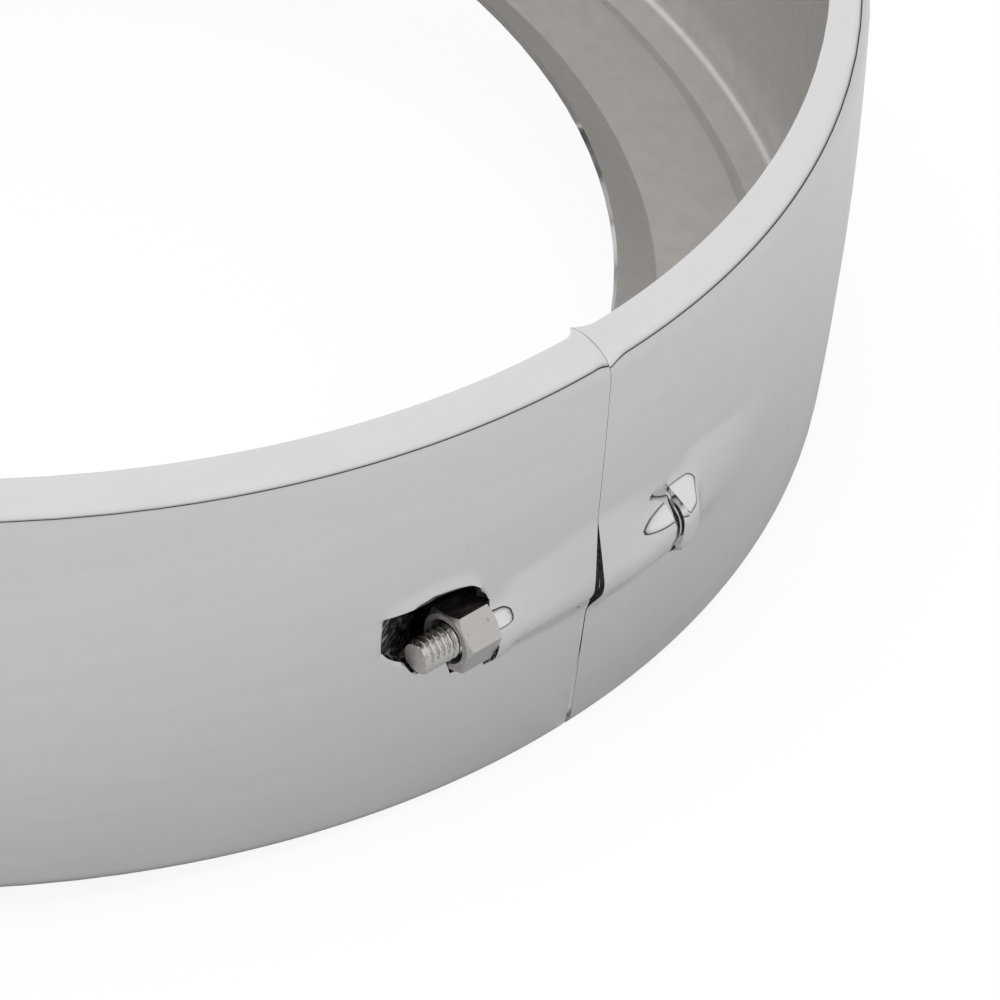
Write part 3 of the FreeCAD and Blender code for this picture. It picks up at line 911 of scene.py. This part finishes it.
        level = clamp.wall_level(section, along, up)
        side_right = np.broadcast_to(right[zone][:, None], along.shape)
        raised = clamp.tunnel(along, up, side_right)
        pocket = clamp.pocket(along, up)
        over_head = (index > head_column)[:, None] & np.ones_like(side_right)
        fade = smooth(along, -24, clamp.nut_mouth)
        proud = np.where(over_head, pocket, raised * np.where(along < clamp.nut_mouth, fade, 1))
        above = row_index[None, :] >= slit_row
        left_of_nut = (index < nut_column)[:, None]
        proud = np.where(left_of_nut & ~above, 0, proud)
        proud = proud + np.where(above & left_of_nut, clamp.wall_flare(along, up), 0)
        formed = origin + (
            along[..., None] * axes[:, 0] + (level - proud)[..., None] * axes[:, 1]
            + up[..., None] * axes[:, 2])

        # Below the cut and left of the nut's mouth the sheet is pressed in
        lanced = {}
        slit_columns = [c for c in range(nut_column + 1)
                        if clamp.slit_end <= along[c, slit_row]]
        start_column = slit_columns[0]
        for c in range(start_column, nut_column + 1):
            station = float(along[c, slit_row])
            share = np.linspace(0, 1, slit_row - foot_row + 1)
            top = float(up[c, slit_row])
            if station > clamp.corner_station:
                top = clamp.slit_level
            line = clamp.trough_line(section, station, share, top, float(up[c, foot_row]))
            for step, row in enumerate(range(slit_row, foot_row - 1, -1)):
                point = origin + station * axes[:, 0] + line[step, 0] * axes[:, 1] \
                    + line[step, 1] * axes[:, 2]
                if row == slit_row and c > start_column:
                    lanced[(zone[c], wall[row])] = point
                elif c == nut_column and row > foot_row:
                    lanced[(zone[c], wall[row])] = point
                elif row < slit_row and c < nut_column:
                    formed[c, row] = point

        # The pocket's edge at the head stands over the tunnel's end, across the slot
        head = {}
        for row in range(head_foot + 1, head_top):
            share = (row - head_foot) / (head_top - head_foot)
            open_share = float(smooth(share, 0, 0.14) * (1 - smooth(share, 0.9, 1)))
            middle, level_up = along[head_column, row], up[head_column, row]
            edges = []
            for sign, form in ((-1, raised), (1, pocket)):
                station = middle + sign * clamp.slot_half_gap * open_share
                height = raised[head_column, row] * (1 - open_share) \
                    + form[head_column, row] * open_share
                edges.append(origin + station * axes[:, 0]
                             + (level[head_column, row] - height) * axes[:, 1]
                             + level_up * axes[:, 2])
            formed[head_column, row], head[(zone[head_column], wall[row])] = edges
        points[block] = formed
        cuts = {
            "slit_row": wall[slit_row], "foot_row": wall[foot_row],
            "nut_column": zone[nut_column], "start_column": zone[start_column],
            "head_column": zone[head_column],
        }
        return {"nut": lanced, "head": head}, cuts

    def stitch(self, points: np.ndarray, lanced: dict, cuts: dict, columns: int, rows: int,
               middle: int, first: int) -> bpy.types.Object:
        """Joins the points into faces, with the split and the cuts left open.

        Args:
            points: The sheet's points.
            lanced: The points on the lanced side of the cuts.
            cuts: The cuts' rows and columns.
            columns: How many columns there are.
            rows: How many rows there are.
            middle: The first column right of the split.
            first: The wall's first row; not used.

        Returns:
            The finished ring.
        """
        vertices = list(points.reshape(-1, 3))
        extra = {}
        for group, places in lanced.items():
            for key, point in places.items():
                extra[(group, key)] = len(vertices)
                vertices.append(point)
        faces = []
        for c in range(columns - 1):
            if c == middle - 1:
                continue
            for r in range(rows - 1):
                corners = [(c, r), (c + 1, r), (c + 1, r + 1), (c, r + 1)]
                group = None
                if c < cuts["nut_column"] and r < cuts["slit_row"]:
                    group = "nut"
                elif c >= cuts["head_column"]:
                    group = "head"
                faces.append([extra.get((group, k), k[0] * rows + k[1]) for k in corners])
        # The nut's seat closes the mouth between the tunnel's end and the trough
        c = cuts["nut_column"]
        for r in range(cuts["foot_row"], cuts["slit_row"]):
            outer = c * rows + r
            deep = [extra.get(("nut", (c, k)), c * rows + k) for k in (r, r + 1)]
            seat = [outer, outer + 1, deep[1], deep[0]]
            faces.append([k for i, k in enumerate(seat) if k not in seat[:i]])
        # The first and last columns meet opposite the split
        offset = (columns - 1) * rows
        for r in range(rows - 1):
            faces.append([offset + r, r, r + 1, offset + r + 1])
        piece = mesh_object("visor_ring", np.array(vertices), faces, self.place)
        tool = bmesh.new()
        tool.from_mesh(piece.data)
        bmesh.ops.remove_doubles(tool, verts=tool.verts, dist=1e-7)
        bmesh.ops.recalc_face_normals(tool, faces=tool.faces)
        tool.faces.ensure_lookup_table()
        probe = max(tool.faces, key=lambda f: f.calc_center_median().x)
        if probe.normal.x < 0:
            bmesh.ops.reverse_faces(tool, faces=tool.faces)
        tool.to_mesh(piece.data)
        tool.free()
        piece.data.materials.append(self.chrome.build())
        piece.data.materials.append(self.nickel.build())
        sheet = piece.modifiers.new("sheet", "SOLIDIFY")
        sheet.thickness = self.section.gauge * MM
        sheet.offset = -1
        sheet.use_rim = True
        sheet.material_offset = 1
        sheet.material_offset_rim = 0
        bake_modifiers(piece)
        piece.data.materials.append(self.sheared.build())
        piece.data.materials.append(self.trough_shade.build())
        self.dress_clamp(piece)
        shade(piece, 48)
        return piece

    def dress_clamp(self, piece: bpy.types.Object) -> None:
        """Gives the split its sheared edges, and paints shade onto the trough's recessed faces and
        the nut's seat.

        Args:
            piece: The ring, with its sheet's thickness made.
        """
        clamp, section = self.clamp, self.section
        back = self.place.matrix().inverted()
        origin, axes = clamp.frame(section)
        for face in piece.data.polygons:
            centre = np.array(back @ face.center)
            if centre[1] > 0 or abs(centre[0]) > self.fine_reach:
                continue
            normal = back.to_3x3() @ face.normal
            at_split = centre[2] > self.split_foot and abs(centre[0]) < self.split_reach
            if at_split and abs(normal.x) > 0.75 * normal.length:
                face.material_index = SheetFace.SPLIT.value
                continue
            x, y, z = (centre - origin) @ axes
            if (face.material_index != SheetFace.OUTER.value or not -5 < z < 7.2
                    or not clamp.slit_end < x < clamp.nut_mouth + 0.2):
                continue
            # Faces pressed in below the plain wall, and the nut's seat, get near-black painted shade
            seat = abs(x - clamp.nut_mouth) < 0.1
            if seat or y > float(clamp.wall_level(section, np.array(x), np.array(z))) + 0.12:
                face.material_index = SheetFace.TROUGH.value


@dataclass
class ClampScrew:
    """The clamp screw: a rolled thread with a bevelled end and a cheese head."""

    clamp: Clamp
    section: Section
    place: Place
    radius: float = 1.75
    length: float = 32.4
    pitch: float = 0.72
    thread_depth: float = 0.36
    end_bevel: float = 0.3
    head_radius: float = 2.4
    head_height: float = 2.0
    slot_width: float = 0.9
    slot_depth: float = 0.9
    around: int = 60
    steps_per_turn: int = 12
    finish: PlatedSteel = PlatedSteel(
        "bright_zinc_plated_steel", "C8C5C1", "86817C", 0.2, 0.3, (1.0, 1.0, 1.0), 0.01)
    end_finish: DullSteel = DullSteel("faced_zinc_plated_steel", "B9B1AF", "CFC8C6", 0.6, 0.4, 0.2)

    def build(self) -> bpy.types.Object:
        """Builds the screw's mesh and dresses it.

        Returns:
            The finished piece.
        """
        angles = np.arange(self.around) / self.around * 2 * math.pi
        step = self.pitch / self.steps_per_turn
        stations = np.arange(0, self.length + step / 2, step)
        turns = stations[:, None] / self.pitch - angles[None, :] / (2 * math.pi)
        wave = 1 - np.abs((turns % 1) * 2 - 1)
        crest = np.clip(wave * 1.45 - 0.2, 0, 1)
        radius = self.radius - self.thread_depth * (1 - crest)
        radius = np.minimum(radius, self.radius - self.end_bevel
                            + np.clip(stations[:, None], 0, None) * 1.1)
        tip = self.clamp.head_station - self.length
        rings = [(tip, np.full(self.around, 0.0))]
        rings += [(tip, np.full(self.around, float(radius[0].min()) * 0.97))]
        rings += [(tip + s, radius[i]) for i, s in enumerate(stations)]
        head = self.clamp.head_station
        profile = [(0.0, self.head_radius - 0.12), (0.12, self.head_radius),
                   (self.head_height - 0.35, self.head_radius),
                   (self.head_height - 0.1, self.head_radius - 0.25),
                   (self.head_height, self.head_radius - 0.6), (self.head_height, 0.0)]
        rings += [(head + s, np.full(self.around, r)) for s, r in profile]
        origin, axes = self.clamp.frame(self.section)
        points, faces = [], []
        for station, ring in rings:
            for k, angle in enumerate(angles):
                local = np.array([station, -ring[k] * math.cos(angle), ring[k] * math.sin(angle)])
                points.append(origin + axes @ local)
        for i in range(len(rings) - 1):
            for k in range(self.around):
                n = (k + 1) % self.around
                faces.append([i * self.around + k, i * self.around + n,
                              (i + 1) * self.around + n, (i + 1) * self.around + k])
        piece = mesh_object("clamp_screw_threaded", np.array(points), faces, self.place)
        tool = bmesh.new()
        tool.from_mesh(piece.data)
        bmesh.ops.remove_doubles(tool, verts=tool.verts, dist=1e-8)
        bmesh.ops.recalc_face_normals(tool, faces=tool.faces)
        tool.to_mesh(piece.data)
        tool.free()
        piece.data.materials.append(self.finish.build())
        piece.data.materials.append(self.end_finish.build())
        for face in piece.data.polygons[:2 * self.around]:
            face.material_index = 1
        shade(piece, 38)
        return piece


@dataclass
class ClampNut:
    """The tall hexagon nut, bevelled at both ends, with a countersunk bore."""

    clamp: Clamp
    section: Section
    place: Place
    flats: float = 6.0
    height: float = 4.3
    turn: float = 19.1
    face_radius: float = 2.86
    bevel_slope: float = 0.62
    bore_radius: float = 1.8
    countersink: float = 0.5
    per_side: int = 16
    finish: PlatedSteel = PlatedSteel(
        "brushed_nickel_plated_steel", "BBB8B5", "7C7773", 0.3, 0.22, (0.35, 1.0, 1.0), 0.012)
    end_finish: DullSteel = DullSteel("faced_nickel_plated_steel", "9E9A98", "B8B4B2", 0.55, 0.4, 0.3)
    # Near-black painted shade for the nut's up-facing flat, under the overhanging sheet
    shaded_finish: DullSteel = DullSteel("painted_shade_nickel_plated_steel", "241F1D", "4A4442", 0.6, 1.2)

    def build(self) -> bpy.types.Object:
        """Builds the nut's mesh and dresses it.

        Returns:
            The finished piece.
        """
        count = 6 * self.per_side
        turn = np.arange(count) / count * 2 * math.pi
        within = (turn % (math.pi / 3)) - math.pi / 6
        hexagon = self.flats / 2 / np.cos(within)
        bevel = np.clip(hexagon - self.face_radius, 0, None) * self.bevel_slope
        flat_ring = np.full(count, self.face_radius)
        flat_ring = np.minimum(flat_ring, hexagon)
        mouth = np.full(count, self.bore_radius + self.countersink)
        bore = np.full(count, self.bore_radius)
        sink = self.countersink * 2.4
        zero, full = np.zeros(count), np.full(count, self.height)
        rings = [
            (zero + sink, bore), (zero, mouth), (zero, flat_ring), (bevel, hexagon),
            (full - bevel, hexagon), (full, flat_ring), (full, mouth), (full - sink, bore),
        ]
        origin, axes = self.clamp.frame(self.section)
        lift = -math.radians(self.turn)
        points, faces = [], []
        for station, ring in rings:
            for k in range(count):
                angle = turn[k] + lift
                local = np.array([self.clamp.nut_mouth - 0.02 - station[k],
                                  ring[k] * math.sin(angle), ring[k] * math.cos(angle)])
                points.append(origin + axes @ local)
        total = len(rings)
        for i in range(total):
            for k in range(count):
                n = (k + 1) % count
                j = (i + 1) % total
                faces.append([i * count + k, i * count + n, j * count + n, j * count + k])
        piece = mesh_object("clamp_nut_brushed", np.array(points), faces, self.place)
        tool = bmesh.new()
        tool.from_mesh(piece.data)
        bmesh.ops.recalc_face_normals(tool, faces=tool.faces)
        tool.to_mesh(piece.data)
        tool.free()
        for finish in (self.finish, self.end_finish, self.shaded_finish):
            piece.data.materials.append(finish.build())
        back = (self.place.matrix() @ Matrix(axes.tolist()).to_4x4()).inverted().to_3x3()
        for face in piece.data.polygons:
            normal = (back @ face.normal).normalized()
            if normal.x < -0.9:
                face.material_index = 1
            # The up-facing flat gets near-black painted shade, for the shade under the overhanging
            # sheet
            elif normal.z > 0.9:
                face.material_index = 2
        shade(piece, 18)
        return piece


@dataclass
class VisorPeak:
    """The peak: a hemmed double sheet that carries the wall on past the front."""

    section: Section
    place: Place
    reach: float = 26.9
    gauge: float = 1.3
    root_lift: float = 1.6
    spread: float = 15.0
    columns: int = 220
    rows: int = 18
    hem_steps: int = 8
    chrome: bpy.types.Material | None = None

    def trim_height(self, across: np.ndarray) -> np.ndarray:
        """Gives the height at which the peak is trimmed.

        Args:
            across: Places from the split's side to the peak's side, in mm.

        Returns:
            The height of the trimmed edge.
        """
        section = self.section
        front = section.wall_depth + section.fold_radius
        root, tip = front - self.root_lift, front + self.reach
        run = section.wall_radius + section.front_flare + self.spread
        down = tip - root
        radius = (run * run + down * down) / (2 * down)
        place = np.clip(across + self.spread, 0, None)
        return -root - radius + np.sqrt(radius * radius - place * place)

    def build(self) -> bpy.types.Object:
        """Builds the peak's mesh and dresses it.

        Returns:
            The finished piece.
        """
        section = self.section
        foot = -section.wall_depth
        edge = math.asin(self.spread / (section.wall_radius + section.front_flare))
        angles = np.linspace(-edge, math.pi + edge, self.columns + 1)
        hem = self.gauge / 2
        points, faces = [], []
        per_column = 2 * self.rows + self.hem_steps - 1
        for angle in angles:
            height = foot
            for _ in range(8):
                across = section.wall(np.array(height)) * math.sin(angle)
                height = float(self.trim_height(across))
            height = min(height, foot - 0.02)
            turn = min(hem, (foot - height) * 0.9)
            start = height + turn
            outer = np.linspace(foot, start, self.rows)
            column = [(float(section.wall(np.array(h))), h) for h in outer]
            bends = np.linspace(0, math.pi, self.hem_steps + 1)[1:-1]
            centre = column[-1][0] - hem
            column += [(centre + hem * math.cos(b), start - turn * math.sin(b)) for b in bends]
            inner = np.linspace(start, foot - 0.9, self.rows)
            column += [(float(section.wall(np.array(h))) - self.gauge, h) for h in inner]
            for radius, level in column:
                points.append((radius * math.cos(angle), radius * math.sin(angle), level))
        per_column = len(column)
        for c in range(self.columns):
            for r in range(per_column):
                n = (r + 1) % per_column
                faces.append([c * per_column + r, c * per_column + n,
                              (c + 1) * per_column + n, (c + 1) * per_column + r])
        faces.append(list(range(per_column)))
        faces.append([self.columns * per_column + r for r in range(per_column)][::-1])
        piece = mesh_object("visor_peak", np.array(points), faces, self.place)
        tool = bmesh.new()
        tool.from_mesh(piece.data)
        bmesh.ops.recalc_face_normals(tool, faces=tool.faces)
        tool.to_mesh(piece.data)
        tool.free()
        piece.data.materials.append(self.chrome)
        shade(piece, 40)
        return piece


@dataclass
class Studio:
    """The plain studio: a pale floor, a large soft light and a dim low horizon."""

    floor_size: float = 6.0
    floor_colour: str = "D0D0D0"
    floor_glow: float = 1.06
    floor_glow_share: float = 0.85
    top_light: float = 6.0
    side_light: float = 2.0
    sky: tuple[tuple[float, float], ...] = (
        (0.0, 0.05), (0.03, 0.06), (0.07, 0.6), (0.16, 0.92), (0.35, 1.0))

    def build_floor(self) -> None:
        """Lays the floor, which shows white and keeps the object's shadow."""
        half = self.floor_size / 2
        mesh = bpy.data.meshes.new("studio_floor")
        corners = [(-half, -half, 0), (half, -half, 0), (half, half, 0), (-half, half, 0)]
        mesh.from_pydata(corners, [], [(0, 1, 2, 3)])
        floor = bpy.data.objects.new("studio_floor", mesh)
        bpy.context.scene.collection.objects.link(floor)
        material, tree, shader = new_material("matt_white_paint")
        shader.inputs["Base Color"].default_value = linear(self.floor_colour)
        shader.inputs["Roughness"].default_value = 0.9
        shader.inputs["Specular IOR Level"].default_value = 0.0
        path = add_node(tree, "ShaderNodeLightPath")
        glow = add_node(tree, "ShaderNodeEmission", inputs={"Strength": self.floor_glow})
        share = add_node(tree, "ShaderNodeMath", {"operation": "MULTIPLY"}, {
            0: path.outputs["Is Camera Ray"], 1: self.floor_glow_share})
        mix = add_node(tree, "ShaderNodeMixShader", inputs={"Fac": share.outputs["Value"]})
        tree.links.new(shader.outputs["BSDF"], mix.inputs[1])
        tree.links.new(glow.outputs["Emission"], mix.inputs[2])
        tree.links.new(mix.outputs["Shader"], tree.nodes["Material Output"].inputs["Surface"])
        mesh.materials.append(material)

    def build_world(self) -> None:
        """Makes the white surroundings, with a thin dim band at the horizon."""
        world = bpy.data.worlds.new("studio_world")
        bpy.context.scene.world = world
        world.use_nodes = True
        tree = world.node_tree
        shown = tree.nodes["Background"]
        shown.inputs["Color"].default_value = (1, 1, 1, 1)
        shown.inputs["Strength"].default_value = 1.0
        place = add_node(tree, "ShaderNodeTexCoord")
        split = add_node(tree, "ShaderNodeSeparateXYZ", inputs={
            "Vector": place.outputs["Generated"]})
        ramp = add_node(tree, "ShaderNodeValToRGB", inputs={"Fac": split.outputs["Z"]})
        elements = ramp.color_ramp.elements
        while len(elements) < len(self.sky):
            elements.new(0.5)
        for element, (where, grey) in zip(elements, self.sky):
            element.position = where
            element.color = (grey, grey, grey, 1)
        around = add_node(tree, "ShaderNodeBackground", inputs={
            "Color": ramp.outputs["Color"], "Strength": 1.0})
        path = add_node(tree, "ShaderNodeLightPath")
        mix = add_node(tree, "ShaderNodeMixShader", inputs={
            "Fac": path.outputs["Is Camera Ray"]})
        tree.links.new(around.outputs["Background"], mix.inputs[1])
        tree.links.new(shown.outputs["Background"], mix.inputs[2])
        tree.links.new(mix.outputs["Shader"], tree.nodes["World Output"].inputs["Surface"])

    def build_lights(self) -> None:
        """Hangs the large soft light over the object and a smaller one beside it."""
        for name, place, size, power in (
                ("overhead_softbox", Vector((-0.35, 0.2, 1.25)), 1.6, self.top_light),
                ("side_softbox", Vector((1.2, -0.7, 0.9)), 0.8, self.side_light)):
            lamp = bpy.data.lights.new(name, "AREA")
            lamp.shape = "SQUARE"
            lamp.size = size
            lamp.energy = power
            light = bpy.data.objects.new(name, lamp)
            light.location = place
            light.visible_glossy = False
            light.rotation_euler = (-place).to_track_quat("-Z", "Y").to_euler()
            bpy.context.scene.collection.objects.link(light)


@dataclass(frozen=True)
class PhotoCamera:
    """The camera of the photograph, fitted to the ring's outlines.

    Its place is in a frame whose Z is the ring's axis, and in which the split
    lies at an azimuth of its own.
    """

    focal_px: float = 7747.07
    image_px: float = 1000.0
    sensor_mm: float = 36.0
    elevation: float = 0.667287
    roll: float = 0.135399
    offset: tuple[float, float, float] = (-62.734, -59.747, 762.845)
    split_azimuth: float = -37.95

    def build(self, place: Place) -> None:
        """Makes the camera and sets it as the scene's own.

        Args:
            place: Where the ring lies.
        """
        e, roll = self.elevation, self.roll
        view = Matrix(((1, 0, 0), (0, -math.sin(e), -math.cos(e)), (0, math.cos(e), -math.sin(e))))
        turn = Matrix(((math.cos(roll), -math.sin(roll), 0),
                       (math.sin(roll), math.cos(roll), 0), (0, 0, 1)))
        world_to_camera = turn @ view
        centre = -(world_to_camera.transposed() @ Vector(self.offset))
        axes = Matrix((world_to_camera[0], -world_to_camera[1], -world_to_camera[2])).transposed()
        to_ring = Matrix.Rotation(math.radians(-90 - self.split_azimuth), 4, "Z")
        matrix = place.matrix() @ to_ring @ (Matrix.Translation(centre) @ axes.to_4x4())
        data = bpy.data.cameras.new("photo_camera")
        data.sensor_width = self.sensor_mm
        data.lens = self.sensor_mm * self.focal_px / self.image_px
        data.clip_start = 0.01
        camera = bpy.data.objects.new("photo_camera", data)
        location, rotation, _ = matrix.decompose()
        camera.matrix_world = Matrix.Translation(location) @ rotation.to_matrix().to_4x4()
        bpy.context.scene.collection.objects.link(camera)
        bpy.context.scene.camera = camera


def main() -> None:
    """Builds every piece in order and reports each."""
    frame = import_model()
    section, clamp = Section(), Clamp()
    place = Place.from_record(frame["record"], GRIP_BEHIND_CREASE)
    ring = VisorRing(section, clamp, place)
    ring_piece = ring.build()
    chrome = ring_piece.data.materials[0]
    pieces = [
        (ring_piece, "shell_chrome", "visor_shell"),
        (VisorPeak(section, place, chrome=chrome).build(), "shell_chrome", "visor_shell"),
        (ClampScrew(clamp, section, place).build(), "screw_steel", "clamp_screw"),
        (ClampNut(clamp, section, place).build(), "nut_steel", "clamp_nut"),
    ]
    for piece, slot, node in pieces:
        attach(piece, "root")
        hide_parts(node)
        log.info("%s: %d faces", piece.name, len(piece.data.polygons))
    studio = Studio()
    studio.build_floor()
    studio.build_world()
    studio.build_lights()
    PhotoCamera().build(place)
    bpy.context.scene.view_settings.view_transform = "Standard"


if __name__ == "__main__":
    logging.basicConfig(level=logging.INFO)
    main()
